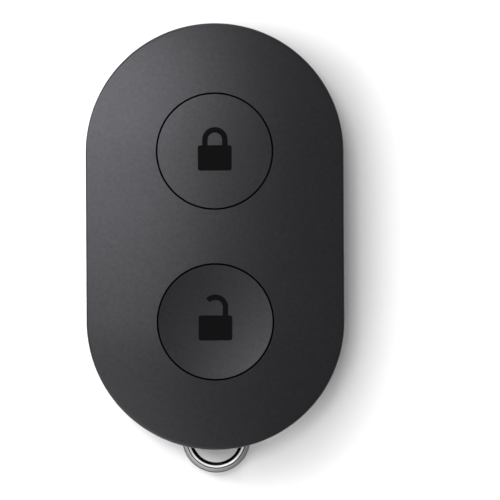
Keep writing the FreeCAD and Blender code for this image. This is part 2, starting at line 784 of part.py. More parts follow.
def contacts():
    """The two spring strips under the board that touch the side and the cap of the coin cell."""
    thick = dim.contact_thickness
    under = dim.board_bottom
    side = new_body("positive_contact")
    touch = dim.cell_radius + dim.contact_touch_gap
    middle = (cell_bottom + cell_top) / 2 + thick
    tip = neck_top + dim.contact_door_gap
    strip = Drawing(side, "Section", "XZ_Plane")
    strip.outline((touch + thick, under), (touch + dim.contact_foot, under),
                  (touch + dim.contact_foot, under - thick), (touch + dim.contact_root, under - thick),
                  (touch + thick, middle), (touch + dim.contact_flare + thick, tip),
                  (touch + dim.contact_flare, tip), (touch, middle))
    pad(side, strip, dim.contact_width, middle=True)
    leaf = new_body("negative_contact")
    reach = dim.contact_spring_reach
    low = cell_top + dim.contact_touch_gap
    strip = Drawing(leaf, "Section", "XZ_Plane")
    strip.outline((-reach, under), (-reach, under - thick), (dim.contact_foot - reach, under - thick),
                  (-dim.contact_heel, low), (dim.contact_toe, low), (dim.contact_tip + thick, under - thick),
                  (dim.contact_tip, under - thick), (dim.contact_toe, low + thick),
                  (-dim.contact_heel, low + thick), (dim.contact_foot - reach, under))
    pad(leaf, strip, dim.contact_width, middle=True)
    return [side, leaf]


def battery_door():
    """The coin-slotted door: a flange in the back shell's recess, a neck and three bayonet lugs."""
    body = new_body("battery_door")
    plate = Drawing(body, "Flange", height=dim.door_recess).circle(0, 0, door_radius)
    pad(body, plate, dim.door_flange)
    neck = Drawing(body, "Neck", height=flange_back).circle(0, 0, neck_radius)
    pad(body, neck, neck_top - flange_back)
    cup = Drawing(body, "Cup", height=neck_top).circle(0, 0, neck_radius - dim.neck_wall)
    pocket(body, cup, neck_top - dim.door_recess - dim.door_plate)
    lug = Drawing(body, "Lug", height=lug_bottom)
    lug_outline(lug, -(dim.door_turn / 2), dim.lug_angle, lug_radius)
    turned_copies(body, pad(body, lug, dim.lug_height), lug, 3)
    slot = Drawing(body, "CoinSlot", height=dim.door_recess)
    slot.box(dim.coin_slot_length, dim.coin_slot_width)
    pocket(body, slot, dim.coin_slot_depth, up=True)
    seal = new_body("door_seal")
    washer = Drawing(seal, "Washer", height=flange_back)
    washer.circle(0, 0, door_radius - dim.door_clearance)
    washer.circle(0, 0, neck_radius + dim.seal_clearance)
    pad(seal, washer, dim.seal_thickness)
    return [body, seal]


def key_ring():
    """The round-wire ring and the pin that it swings on."""
    ring = new_body("key_ring")
    wire = Drawing(ring, "Wire", "XZ_Plane", height=ring_centre, along=dim.ring_height)
    wire.circle(ring_radius, 0, dim.ring_wire_radius)
    revolve(ring, wire)
    pin = new_body("ring_pin")
    section = Drawing(pin, "Section", "XZ_Plane", height=pin_centre)
    top = dim.parting_height - dim.pin_hole_gap
    bevel = dim.pin_bevel
    section.outline((0, dim.pin_floor), (dim.pin_radius - bevel, dim.pin_floor),
                    (dim.pin_radius, dim.pin_floor + bevel), (dim.pin_radius, top - bevel),
                    (dim.pin_radius - bevel, top), (0, top))
    revolve(pin, section)
    return [ring, pin]


def case_screws():
    """Four screws from the back, through the posts and the board into the front shell's bosses."""
    body = new_body("case_screws")
    body.AllowCompound = True
    shanks = Drawing(body, "Shanks", height=screw_seat)
    heads = Drawing(body, "Heads", height=dim.screw_head_recess)
    crosses = Drawing(body, "Crosses", height=dim.screw_head_recess)
    for x, y in corners():
        shanks.circle(x, y, dim.screw_radius)
        heads.circle(x, y, dim.screw_head_radius)
        cross(crosses, x, y, dim.screw_cross_reach, dim.screw_cross_width / 2)
    pad(body, shanks, board_top + dim.screw_engagement - screw_seat)
    pad(body, heads, dim.screw_head_height)
    pocket(body, crosses, dim.screw_cross_depth, up=True)
    return body


def cross(drawing, x, y, reach, half):
    """A cross-shaped driver recess around x, y."""
    drawing.outline((x - reach, y - half), (x - half, y - half), (x - half, y - reach), (x + half, y - reach),
                    (x + half, y - half), (x + reach, y - half), (x + reach, y + half), (x + half, y + half),
                    (x + half, y + reach), (x - half, y + reach), (x - half, y + half), (x - reach, y + half))


pieces = [
    rear_cover(),
    front_cover(),
    button("lock_button", 1, False),
    button("unlock_button", -1, True),
    key_mat(),
    circuit_board(),
    *switch("lock", 1),
    *switch("unlock", -1),
    chip("radio_chip", dim.chip_width, dim.chip_width, dim.chip_height, -dim.chip_offset, 0),
    chip("crystal", dim.crystal_width, dim.crystal_length, dim.crystal_height, crystal_across, 0),
    chip("chip_antenna", dim.antenna_length, dim.antenna_width, dim.antenna_height, 0, antenna_along),
    passives("chip_capacitors", -(dim.chip_offset + dim.chip_width / 2 + dim.passive_gap), 5),
    passives("chip_resistors", crystal_across + dim.crystal_width / 2 + dim.passive_gap, 4),
    *coin_cell(),
    *contacts(),
    *battery_door(),
    *key_ring(),
    case_screws(),
]

failed = [thing.Label for thing in doc.Objects if "Invalid" in thing.State or "Error" in thing.State]
if failed:
    raise RuntimeError("These did not build: " + ", ".join(failed))
os.makedirs("parts", exist_ok=True)
for piece in pieces:
    shape = piece.Shape
    if shape.isNull() or not shape.isValid() or not shape.Solids:
        raise RuntimeError(piece.Label + " has no sound solid")
for piece in pieces:
    piece.Shape.exportStep("parts/" + piece.Label + ".step")
    print(piece.Label, len(piece.Shape.Solids), "solids", round(piece.Shape.Volume, 2), "mm3")
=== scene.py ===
import math

import bmesh
import bpy
from mathutils import Matrix, Vector, geometry


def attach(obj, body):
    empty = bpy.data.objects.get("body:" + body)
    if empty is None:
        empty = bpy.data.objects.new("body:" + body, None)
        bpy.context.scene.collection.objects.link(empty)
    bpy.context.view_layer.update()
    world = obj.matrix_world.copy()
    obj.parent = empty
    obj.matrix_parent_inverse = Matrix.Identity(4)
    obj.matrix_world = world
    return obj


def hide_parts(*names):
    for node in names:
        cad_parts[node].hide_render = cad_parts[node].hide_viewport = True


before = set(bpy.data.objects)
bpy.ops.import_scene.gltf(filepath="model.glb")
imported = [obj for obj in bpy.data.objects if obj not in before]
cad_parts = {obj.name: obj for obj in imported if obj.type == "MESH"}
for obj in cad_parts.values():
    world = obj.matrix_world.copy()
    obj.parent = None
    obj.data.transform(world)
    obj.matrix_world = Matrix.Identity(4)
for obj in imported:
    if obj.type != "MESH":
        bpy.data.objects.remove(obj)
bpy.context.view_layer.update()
scene = bpy.context.scene
MM = 0.001


# ---------------------------------------------------------------------------------------------
# Front cover: the crowned upper shell of the case, injection moulded in dark grey plastic with a
# fine satin grain. Two round openings guide the buttons, a rebate inside its edge takes the back
# shell's tongue, and four bosses take the case screws.

HALF_WIDTH = 18.15 * MM
HALF_STRAIGHT = 11.85 * MM
CASE_HEIGHT = 11.0 * MM
CROWN_RADIUS = 150.0 * MM
CROWN_MIDDLE = CASE_HEIGHT - CROWN_RADIUS
RIM_RADIUS = 0.35 * MM
PARTING = 5.0 * MM
PARTING_BEVEL = 0.2 * MM
SIDE_WALL = 1.5 * MM
FRONT_WALL = 1.4 * MM
LAP_INSET = 0.7 * MM
LAP_TOP = 6.1 * MM
BUTTON_OFFSET = 12.0 * MM
OPENING_RADIUS = 8.23 * MM
OPENING_EDGE = 0.03 * MM
CAP_BOTTOM = 7.875 * MM
FLANGE_SEAT = 8.525 * MM
FLANGE_BORE = 0.95 * MM
COLLAR_RADIUS = 1.7 * MM
NO_DISH = 1.0
TOUCHING = 1e-7


class Signal:
    """A socket in a node tree. A sum written with it adds the Math nodes that work it out."""

    def __init__(self, tree, socket):
        self.tree = tree
        self.socket = socket

    def maths(self, operation, *values):
        return self.tree.node("ShaderNodeMath", {"operation": operation}, dict(enumerate(values)))

    def __add__(self, other):
        return self.maths("ADD", self, other)

    def __radd__(self, other):
        return self.maths("ADD", other, self)

    def __sub__(self, other):
        return self.maths("SUBTRACT", self, other)

    def __rsub__(self, other):
        return self.maths("SUBTRACT", other, self)

    def __mul__(self, other):
        return self.maths("MULTIPLY", self, other)

    def __rmul__(self, other):
        return self.maths("MULTIPLY", other, self)

    def __truediv__(self, other):
        return self.maths("DIVIDE", self, other)

    def __abs__(self):
        return self.maths("ABSOLUTE", self)

    def floor(self):
        return self.maths("FLOOR", self)

    def cosine(self):
        return self.maths("COSINE", self)

    def sine(self):
        return self.maths("SINE", self)

    def root(self):
        return self.maths("SQRT", self)

    def least(self, other):
        return self.maths("MINIMUM", self, other)

    def most(self, other):
        return self.maths("MAXIMUM", self, other)

    def above(self, other):
        return self.maths("GREATER_THAN", self, other)

    def below(self, other):
        return self.maths("LESS_THAN", self, other)

    def toward(self, other, share):
        """Goes from this value to the other one as share goes from 0 to 1."""
        return self + (other - self) * share


class Tree:
    """A shader or geometry node tree that is filled through one method."""

    def __init__(self, tree):
        self.tree = tree

    def node(self, kind, settings=None, sockets=None, out=0):
        made = self.tree.nodes.new(kind)
        for name, setting in (settings or {}).items():
            setattr(made, name, setting)
        for name, value in (sockets or {}).items():
            for one in value if isinstance(value, list) else [value]:
                if isinstance(one, Signal):
                    self.tree.links.new(one.socket, made.inputs[name])
                else:
                    made.inputs[name].default_value = one
        return Signal(self, made.outputs[out])

    def mixed(self, share, first, second):
        """Goes from one colour to another as share goes from 0 to 1."""
        return self.node("ShaderNodeMix", {"data_type": "RGBA"}, {0: share, 6: first, 7: second}, out=2)

    def noise(self, grain, detail=2.0, place=None):
        """Soft random speckle, from 0 to 1, of the given grain in metres."""
        place = place or self.node("ShaderNodeTexCoord", out="Object")
        sockets = {"Vector": place, "Scale": 1 / grain, "Detail": detail}
        return self.node("ShaderNodeTexNoise", None, sockets, out=0)


class GeometryTree(Tree):
    """A geometry tree with named inputs, run once to make a plain mesh."""

    def __init__(self, name, **inputs):
        super().__init__(bpy.data.node_groups.new(name, "GeometryNodeTree"))
        face = self.tree.interface
        face.new_socket(name="Geometry", in_out="OUTPUT", socket_type="NodeSocketGeometry")
        face.new_socket(name="Geometry", in_out="INPUT", socket_type="NodeSocketGeometry")
        for label, kind in {**inputs, "finish": "Material"}.items():
            face.new_socket(name=label, in_out="INPUT", socket_type="NodeSocket" + kind)
        self.entry = self.tree.nodes.new("NodeGroupInput")

    def size(self, name):
        return Signal(self, self.entry.outputs[name])

    def end(self, shape):
        """Closes the tree: instances become real and get the piece's material."""
        real = self.node("GeometryNodeRealizeInstances", None, {"Geometry": shape})
        dressed = self.node("GeometryNodeSetMaterial", None,
                            {"Geometry": real, "Material": self.size("finish")})
        self.tree.links.new(dressed.socket, self.tree.nodes.new("NodeGroupOutput").inputs[0])

    def make(self, name, sizes, mesh=None):
        """Runs the tree with these sizes and keeps the result as a plain mesh object."""
        piece = bpy.data.objects.new(name, mesh or bpy.data.meshes.new(name))
        modifier = piece.modifiers.new(name, "NODES")
        modifier.node_group = self.tree
        for item in self.tree.interface.items_tree:
            if item.name in sizes:
                modifier[item.identifier] = sizes[item.name]
        scene.collection.objects.link(piece)
        evaluated = piece.evaluated_get(bpy.context.evaluated_depsgraph_get())
        made = bpy.data.meshes.new_from_object(evaluated)
        piece.modifiers.clear()
        piece.data = made
        settle(made)
        return piece


CREASE = math.radians(32)


def settle(mesh):
    """Merges doubles, turns every face outwards and smooths all but the creased edges."""
    work = bmesh.new()
    work.from_mesh(mesh)
    bmesh.ops.remove_doubles(work, verts=work.verts, dist=TOUCHING)
    bmesh.ops.recalc_face_normals(work, faces=work.faces)
    work.to_mesh(mesh)
    work.free()
    mesh.shade_smooth()
    mesh.set_sharp_from_angle(angle=CREASE)


def shell_tree():
    """A crowned pill shell or round cap, swept from one section.

    Each point of the section mesh is one row. Its place holds a share, a reach and an inset: the
    row runs at that share of the way from a circle around the button, widened by the reach, to
    the pill's outline, narrowed by the inset. Its height is measured from the crown or the base.
    """
    tree = GeometryTree(
        "crowned_shell", half_width="Float", half_straight="Float", crown_middle="Float",
        crown_radius="Float", circle_radius="Float", circle_offset="Float", dish_bottom="Float",
        dish_radius="Float", outer_columns="Int", middle_columns="Int", upper="Bool", lower="Bool")
    section = tree.size("Geometry")
    outer = tree.size("outer_columns")
    middle = tree.size("middle_columns")
    rows = tree.node("GeometryNodeAttributeDomainSize", {"component": "MESH"}, {"Geometry": section})
    grid = tree.node("GeometryNodeMeshGrid", None,
                     {"Vertices X": outer + middle + 1, "Vertices Y": rows})
    index = tree.node("GeometryNodeInputIndex")
    column = ((index + 0.5) / rows).floor()
    row = index - column * rows

    def sampled(kind, value):
        return tree.node("GeometryNodeSampleIndex", {"data_type": kind},
                         {"Geometry": section, "Value": value, "Index": row})

    def mark(name):
        stored = tree.node("GeometryNodeInputNamedAttribute", {"data_type": "FLOAT"}, {"Name": name})
        return sampled("FLOAT", stored)

    spot = sampled("FLOAT_VECTOR", tree.node("GeometryNodeInputPosition"))
    share = tree.node("ShaderNodeSeparateXYZ", None, {0: spot}, out=0)
    reach = tree.node("ShaderNodeSeparateXYZ", None, {0: spot}, out=1)
    inset = tree.node("ShaderNodeSeparateXYZ", None, {0: spot}, out=2)
    radius = tree.size("half_width")
    straight = tree.size("half_straight")
    offset = tree.size("circle_offset")

    # The outline runs up one side, round the end and down the other side, and where the shell has
    # middle columns, back along the line between its two halves.
    travel = column.least(outer) / outer * (straight * 2 + radius * math.pi)
    turn = ((travel - straight) / radius).most(0.0).least(math.pi)
    past = (travel - straight - radius * math.pi).most(0.0)
    across = (column - outer) / middle.most(1.0) * 2 - 1
    on_line = column.above(outer)

    def outline(inwards):
        narrow = radius - inwards
        x = narrow * turn.cosine().toward(across, on_line)
        y = straight + narrow * turn.sine() - (straight - travel).most(0.0) - past
        return x, y * (1 - on_line)

    full_x, full_y = outline(0.0)
    far = (full_x * full_x + (full_y - offset) * (full_y - offset)).root()
    circle = tree.size("circle_radius") + reach
    edge_x, edge_y = outline(inset)
    x = (circle * full_x / far).toward(edge_x, share)
    y = (offset + circle * (full_y - offset) / far).toward(edge_y, share)

    beyond = (abs(y) - straight).most(0.0)
    crown = tree.size("crown_radius")
    from_line = x * x + beyond * beyond
    top = tree.size("crown_middle") + (crown * crown - from_line).root()
    dish = tree.size("dish_radius")
    from_button = x * x + (y - offset) * (y - offset)
    hollow = tree.size("dish_bottom") + dish - (dish * dish - from_button).root()
    z = mark("height") + mark("crowned") * top.least(hollow)
    place = tree.node("ShaderNodeCombineXYZ", None, {0: x, 1: y, 2: z})
    swept = tree.node("GeometryNodeSetPosition", None, {"Geometry": grid, "Position": place})
    now = tree.node("ShaderNodeSeparateXYZ", None, {0: tree.node("GeometryNodeInputPosition")}, out=1)
    half = tree.node("GeometryNodeDeleteGeometry", {"domain": "FACE"},
                     {"Geometry": swept, "Selection": abs(now).below(TOUCHING)})
    mirrored = tree.node("GeometryNodeTransform", None, {"Geometry": half, "Scale": (1, -1, 1)})
    kept = [tree.node("GeometryNodeSwitch", {"input_type": "GEOMETRY"},
                      {"Switch": tree.size(side), "True": shape})
            for side, shape in (("upper", half), ("lower", mirrored))]
    joined = tree.node("GeometryNodeJoinGeometry", None, {"Geometry": kept})
    tree.end(tree.node("GeometryNodeMergeByDistance", None, {"Geometry": joined, "Distance": TOUCHING}))
    return tree


crowned_shell = shell_tree()
OUTER_COLUMNS = 216
MIDDLE_COLUMNS = 72
CASE = {
    "half_width": HALF_WIDTH, "half_straight": HALF_STRAIGHT, "crown_middle": CROWN_MIDDLE,
    "crown_radius": CROWN_RADIUS, "circle_offset": BUTTON_OFFSET, "dish_bottom": NO_DISH,
    "dish_radius": 2 * NO_DISH, "outer_columns": OUTER_COLUMNS, "middle_columns": MIDDLE_COLUMNS,
}


def section_mesh(name, rows):
    """The rows of a section as loose points: (share, reach, inset, height, crowned)."""
    mesh = bpy.data.meshes.new(name)
    mesh.from_pydata([row[:3] for row in rows], [], [])
    for place, label in ((3, "height"), (4, "crowned")):
        marks = mesh.attributes.new(label, "FLOAT", "POINT")
        marks.data.foreach_set("value", [row[place] for row in rows])
    return mesh


def by_circle(reach, height, crowned=0.0):
    """A row at a distance outside the button's circle."""
    return (0.0, reach, 0.0, height, crowned)


def by_outline(inset, height, crowned=0.0):
    """A row at a distance inside the case's outline."""
    return (1.0, 0.0, inset, height, crowned)


def span(reach, inset, height, count, inwards=False):
    """Rows that follow the crown from the circle out to the outline, or back."""
    steps = [(step / count, reach, inset, height, 1.0) for step in range(count + 1)]
    return steps[::-1] if inwards else steps


def quarter(count=4):
    """Cosine and sine of the steps of a quarter turn."""
    angles = [math.pi / 2 * step / count for step in range(count + 1)]
    return [(math.cos(angle), math.sin(angle)) for angle in angles]


def rim_rows(count=6):
    """The small radius between the crown and the upright side."""
    inner = HALF_WIDTH - RIM_RADIUS
    side = CROWN_MIDDLE + math.sqrt((CROWN_RADIUS - RIM_RADIUS) ** 2 - inner ** 2)
    first = math.atan2(side - CROWN_MIDDLE, inner)
    turns = [first * (1 - step / count) for step in range(count + 1)]
    return [by_outline(RIM_RADIUS * (1 - math.cos(turn)), side + RIM_RADIUS * math.sin(turn))
            for turn in turns]


SUPPORT = 0.05 * MM
FACE_ROWS = 28
ROOF_ROWS = 12
front_rows = [by_circle(OPENING_EDGE * (1 - c), OPENING_EDGE * (s - 1), 1.0) for c, s in quarter()]
front_rows += span(OPENING_EDGE + SUPPORT, RIM_RADIUS + SUPPORT, 0.0, FACE_ROWS)
front_rows += rim_rows()
front_rows += [
    by_outline(0.0, front_rows[-1][3] - SUPPORT),
    by_outline(0.0, PARTING + PARTING_BEVEL),
    by_outline(PARTING_BEVEL, PARTING),
    by_outline(LAP_INSET, PARTING),
    by_outline(LAP_INSET, LAP_TOP),
    by_outline(SIDE_WALL, LAP_TOP),
]
front_rows += span(COLLAR_RADIUS, SIDE_WALL, -FRONT_WALL, ROOF_ROWS, inwards=True)
front_rows += [
    by_circle(COLLAR_RADIUS, CAP_BOTTOM),
    by_circle(FLANGE_BORE, CAP_BOTTOM),
    by_circle(FLANGE_BORE, FLANGE_SEAT),
    by_circle(0.0, FLANGE_SEAT),
    front_rows[0],
]


def shade(red, green, blue):
    """A screen colour, 0 to 255, as the linear colour that a shader takes."""
    tones = [tone / 255 for tone in (red, green, blue)]
    return (*[t / 12.92 if t <= 0.04045 else ((t + 0.055) / 1.055) ** 2.4 for t in tones], 1.0)


def finish(name, **constants):
    """A material, its tree and its shader, with the constant values set."""
    material = bpy.data.materials.new(name)
    material.use_nodes = True
    shader = material.node_tree.nodes["Principled BSDF"]
    for label, value in constants.items():
        shader.inputs[label.replace("_", " ")].default_value = value
    return material, Tree(material.node_tree), shader


def feed(tree, shader, **varying):
    """Links what varies over the surface to the shader."""
    for label, signal in varying.items():
        tree.tree.links.new(signal.socket, shader.inputs[label.replace("_", " ")])


SHEEN_LEVEL = 0.415
SHEEN_TINT = (0.93, 0.908, 1.0, 1.0)
# Painted shade round each button: the middle and half width of the black band, and how softly it fades.
GAP_SHADE = (8.14 * MM, 0.115 * MM)
GAP_SHADE_FADE = 0.02 * MM
DRIFT_SCALE = 90
GRAIN_SHARE = 0.35
GRAIN_GLOSS = 0.10
DRIFT_GLOSS = 0.04
PATCH_GRAIN = 0.5 * MM
PATCH_SHEEN = 0.34


def moulded(name, dark, light, gloss, grain, depth, gap_shade=None):
    """Spark-eroded moulded plastic: faint drift in colour, a fine grain and patches of more sheen.

    A gap shade, given as its middle and half width, paints black shade on the edges round a button.
    """
    material, tree, shader = finish(name, Specular_IOR_Level=SHEEN_LEVEL, Specular_Tint=SHEEN_TINT,
                                    Coat_Roughness=gloss)
    fine = tree.noise(grain, 3.0)
    drift = tree.noise(DRIFT_SCALE * grain, 1.0)
    bump = tree.node("ShaderNodeBump", None, {"Strength": 1.0, "Distance": depth, "Height": fine})
    feed(tree, shader,
         Base_Color=tree.mixed(GRAIN_SHARE * fine + (1 - GRAIN_SHARE) * drift, dark, light),
         Roughness=gloss + (fine - 0.5) * GRAIN_GLOSS + (drift - 0.5) * DRIFT_GLOSS,
         Coat_Weight=PATCH_SHEEN * tree.noise(PATCH_GRAIN, 2.0),
         Normal=bump)
    if gap_shade:
        # Painted shade: near the gap's middle the plastic is mixed into a black diffuse.
        place = tree.node("ShaderNodeTexCoord", out="Object")
        x = tree.node("ShaderNodeSeparateXYZ", None, {0: place}, out=0)
        y = abs(tree.node("ShaderNodeSeparateXYZ", None, {0: place}, out=1)) - BUTTON_OFFSET
        middle, half = gap_shade
        beside = abs((x * x + y * y).root() - middle)
        share = ((half - beside) / GAP_SHADE_FADE + 1).least(1.0).most(0.0)
        painted_gap_shade = tree.node("ShaderNodeBsdfDiffuse", None, {"Color": shade(6, 6, 6)})
        output = material.node_tree.nodes["Material Output"]
        plastic = Signal(tree, shader.outputs[0])
        mixed = tree.node("ShaderNodeMixShader", None, {0: share, 1: plastic, 2: painted_gap_shade})
        tree.tree.links.new(mixed.socket, output.inputs["Surface"])
    return material


COVER_DARK = shade(2, 2, 3)
COVER_LIGHT = shade(4, 4, 5)
COVER_GLOSS = 0.34
COVER_GRAIN = 0.09 * MM
COVER_RELIEF = 0.0012 * MM
cover_satin = moulded("cover_satin", COVER_DARK, COVER_LIGHT, COVER_GLOSS, COVER_GRAIN, COVER_RELIEF,
                      gap_shade=GAP_SHADE)
front_cover = crowned_shell.make(
    "front_cover_shell",
    {**CASE, "circle_radius": OPENING_RADIUS, "upper": True, "lower": True, "finish": cover_satin},
    section_mesh("front_cover_section", front_rows))
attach(front_cover, "case")
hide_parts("front_cover")

# The four bosses stand under the cover's roof, and end on the circuit board.
BOSS_RADIUS = 1.85 * MM
PILOT_RADIUS = 0.79 * MM
PILOT_TOP = 8.0 * MM
BOSS_TOP = 9.4 * MM
BOARD_TOP = 5.9 * MM
SCREW_ACROSS = 12.5 * MM
SCREW_ALONG = 13.0 * MM


def turned(name, outline, steps=48):
    """A closed solid turned about its own upright axis from an outline of (radius, height)."""
    mesh = bpy.data.meshes.new(name)
    work = bmesh.new()
    spots = [work.verts.new((radius, 0.0, height)) for radius, height in outline]
    rim = [work.edges.new(pair) for pair in zip(spots, spots[1:])]
    bmesh.ops.spin(work, geom=spots + rim, axis=(0, 0, 1), cent=(0, 0, 0), steps=steps,
                   angle=math.tau)
    work.to_mesh(mesh)
    work.free()
    return mesh


def on_grid(tree, piece):
    """Copies of a piece on the points of a flat grid."""
    grid = tree.node("GeometryNodeMeshGrid", None, {
        "Size X": tree.size("width"), "Size Y": tree.size("depth"),
        "Vertices X": tree.size("columns"), "Vertices Y": tree.size("rows")})
    moved = tree.node("GeometryNodeTransform", None,
                      {"Geometry": grid, "Translation": tree.size("place")})
    return tree.node("GeometryNodeInstanceOnPoints", None, {"Points": moved, "Instance": piece})


GRID = {"columns": "Int", "rows": "Int", "width": "Float", "depth": "Float", "place": "Vector"}
CORNERS = {"columns": 2, "rows": 2, "width": 2 * SCREW_ACROSS, "depth": 2 * SCREW_ALONG}
copies = GeometryTree("copies_on_grid", **GRID)
copies.end(on_grid(copies, copies.size("Geometry")))
boss = turned("boss", [(0.0, BOSS_TOP), (BOSS_RADIUS, BOSS_TOP), (BOSS_RADIUS, BOARD_TOP),
                       (PILOT_RADIUS, BOARD_TOP), (PILOT_RADIUS, PILOT_TOP), (0.0, PILOT_TOP)])
bosses = copies.make("front_cover_bosses", {**CORNERS, "finish": cover_satin}, boss)
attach(bosses, "case")


# ---------------------------------------------------------------------------------------------
# Buttons: two round caps moulded in the cover's plastic, each with a flange that keeps it in its
# opening, a hollow underside and a stem over its switch. The upper one follows the crown, and
# the lower one is dished, so that a thumb can tell them apart.

CAP_RADIUS = 8.05 * MM
CAP_EDGE = 0.03 * MM
CAP_WALL = 1.2 * MM
CAP_ROOF = 9.14 * MM
FLANGE_RADIUS = 9.0 * MM
FLANGE_TOP = 8.475 * MM
STEM_RADIUS = 2.2 * MM
DISH_RADIUS = 75.0 * MM
DISH_BOTTOM = CASE_HEIGHT - 0.66 * MM
RIB_INNER = 1.1 * MM
RIB_OUTER = 7.45 * MM
RIB_HALF = 0.4 * MM
RIB_BOTTOM = 8.175 * MM
RIB_BOND = 0.3 * MM
RIB_COUNT = 6
CAP_ROWS = 14

cap_rows = [by_circle((CAP_RADIUS - CAP_EDGE - SUPPORT) * step / CAP_ROWS - CAP_RADIUS, 0.0, 1.0)
            for step in range(CAP_ROWS + 1)]
cap_rows += [by_circle(CAP_EDGE * (c - 1), CAP_EDGE * (s - 1), 1.0) for c, s in quarter()[::-1]]
cap_rows += [by_circle(reach - CAP_RADIUS, height) for reach, height in (
    (CAP_RADIUS, FLANGE_TOP), (FLANGE_RADIUS, FLANGE_TOP), (FLANGE_RADIUS, CAP_BOTTOM),
    (CAP_RADIUS - CAP_WALL, CAP_BOTTOM), (CAP_RADIUS - CAP_WALL, CAP_ROOF),
    (STEM_RADIUS, CAP_ROOF), (STEM_RADIUS, CAP_BOTTOM), (0.0, CAP_BOTTOM))]


def block(name, left, right, half, low, high, bevel=0.0):
    """A box between two distances along x, as wide to both sides, with its edges bevelled."""
    mesh = bpy.data.meshes.new(name)
    work = bmesh.new()
    size = Matrix.Diagonal((right - left, 2 * half, high - low, 1.0))
    middle = Matrix.Translation(((left + right) / 2, 0.0, (low + high) / 2))
    bmesh.ops.create_cube(work, size=1.0, matrix=middle @ size)
    if bevel:
        bmesh.ops.bevel(work, geom=work.edges[:], offset=bevel, segments=2, affect="EDGES",
                        profile=0.7)
    work.to_mesh(mesh)
    work.free()
    return mesh


rib_tree = GeometryTree("spokes", count="Int", place="Vector")
spokes = rib_tree.node("GeometryNodeMeshCircle", None,
                       {"Vertices": rib_tree.size("count"), "Radius": 0.0})
turn = rib_tree.node("ShaderNodeCombineXYZ", None,
                     {2: rib_tree.node("GeometryNodeInputIndex") * math.tau / rib_tree.size("count")})
around = rib_tree.node("GeometryNodeInstanceOnPoints", None,
                       {"Points": spokes, "Instance": rib_tree.size("Geometry"), "Rotation": turn})
rib_tree.end(rib_tree.node("GeometryNodeTransform", None,
                           {"Geometry": around, "Translation": rib_tree.size("place")}))
button_satin = moulded("button_satin", COVER_DARK, COVER_LIGHT, COVER_GLOSS, COVER_GRAIN, COVER_RELIEF,
                       gap_shade=GAP_SHADE)
for name, lower in (("lock", False), ("unlock", True)):
    dish = {"dish_bottom": DISH_BOTTOM, "dish_radius": DISH_RADIUS} if lower else {}
    cap = crowned_shell.make(
        name + "_button_cap",
        {**CASE, **dish, "circle_radius": CAP_RADIUS, "upper": not lower, "lower": lower,
         "finish": button_satin},
        section_mesh(name + "_button_section", cap_rows))
    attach(cap, name + "_key")
    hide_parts(name + "_button")
    ribs = rib_tree.make(
        name + "_button_ribs",
        {"count": RIB_COUNT, "place": (0.0, -BUTTON_OFFSET if lower else BUTTON_OFFSET, 0.0),
         "finish": button_satin},
        block("rib", RIB_INNER, RIB_OUTER, RIB_HALF, RIB_BOTTOM, CAP_ROOF + RIB_BOND))
    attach(ribs, name + "_key")


# ---------------------------------------------------------------------------------------------
# Padlock symbols: matt black ink, pad printed on the caps in one pass. The upper one is shut and
# the lower one open. They follow the crown and the dish, and are a few hundredths thick.

INK_RISE = 0.012 * MM
INK_SINK = 0.03 * MM
INK_STEP = 0.3 * MM
CORNER = 0.34
CORNER_STEPS = 5


def arc_points(x, y, radius, first, last, count=24):
    """Points along an arc, angles in degrees."""
    angles = [math.radians(first + (last - first) * step / count) for step in range(count + 1)]
    return [(x + radius * math.cos(a), y + radius * math.sin(a)) for a in angles]


def rounded_box(left, low, right, high):
    """A box with round corners, from its lower left corner round to the right."""
    turns = ((left, low, 180), (right, low, 270), (right, high, 0), (left, high, 90))
    points = []
    for x, y, first in turns:
        inside_x = x + CORNER if x == left else x - CORNER
        inside_y = y + CORNER if y == low else y - CORNER
        points += arc_points(inside_x, inside_y, CORNER, first, first + 90, CORNER_STEPS)
    return points


def cap_top(x, y, dished):
    """Height of a cap's face over a point of the drawing."""
    beyond = max(abs(y) - HALF_STRAIGHT, 0.0)
    crown = CROWN_MIDDLE + math.sqrt(CROWN_RADIUS ** 2 - x * x - beyond * beyond)
    if not dished:
        return crown
    from_middle = x * x + (y + BUTTON_OFFSET) ** 2
    return min(crown, DISH_BOTTOM + DISH_RADIUS - math.sqrt(DISH_RADIUS ** 2 - from_middle))


def printed(name, outline, hole, middle, dished, material):
    """A thin layer of ink in the shape of an outline, laid over a cap."""
    loops = [[Vector((x, y, 0.0)) for x, y in loop] for loop in (outline, hole) if loop]
    spots = [spot for loop in loops for spot in loop]
    work = bmesh.new()
    corners = [work.verts.new((spot.x * MM, spot.y * MM + middle, 0.0)) for spot in spots]
    for triangle in geometry.tessellate_polygon(loops):
        work.faces.new([corners[number] for number in triangle])
    low_x, high_x = min(v.co.x for v in corners), max(v.co.x for v in corners)
    low_y, high_y = min(v.co.y for v in corners), max(v.co.y for v in corners)
    for axis, low, high in (((1, 0, 0), low_x, high_x), ((0, 1, 0), low_y, high_y)):
        for cut in range(1, int((high - low) / INK_STEP) + 1):
            bmesh.ops.bisect_plane(work, geom=work.verts[:] + work.edges[:] + work.faces[:],
                                   plane_co=Vector(axis) * (low + cut * INK_STEP), plane_no=axis)
    below = bmesh.ops.extrude_face_region(work, geom=work.faces[:])
    moved = {part for part in below["geom"] if isinstance(part, bmesh.types.BMVert)}
    for vert in work.verts:
        lift = INK_RISE if vert in moved else -INK_SINK
        vert.co.z = cap_top(vert.co.x, vert.co.y, dished) + lift
    mesh = bpy.data.meshes.new(name)
    work.to_mesh(mesh)
    work.free()
    mesh.materials.append(material)
    settle(mesh)
    piece = bpy.data.objects.new(name, mesh)
    scene.collection.objects.link(piece)
    return piece


ink, ink_tree, ink_shader = finish("symbol_ink", Specular_IOR_Level=0.02)
feed(ink_tree, ink_shader,
     Base_Color=ink_tree.mixed(ink_tree.noise(0.25 * MM), shade(9, 9, 9), shade(12, 12, 12)),
     Roughness=0.72 + 0.12 * ink_tree.noise(0.12 * MM))

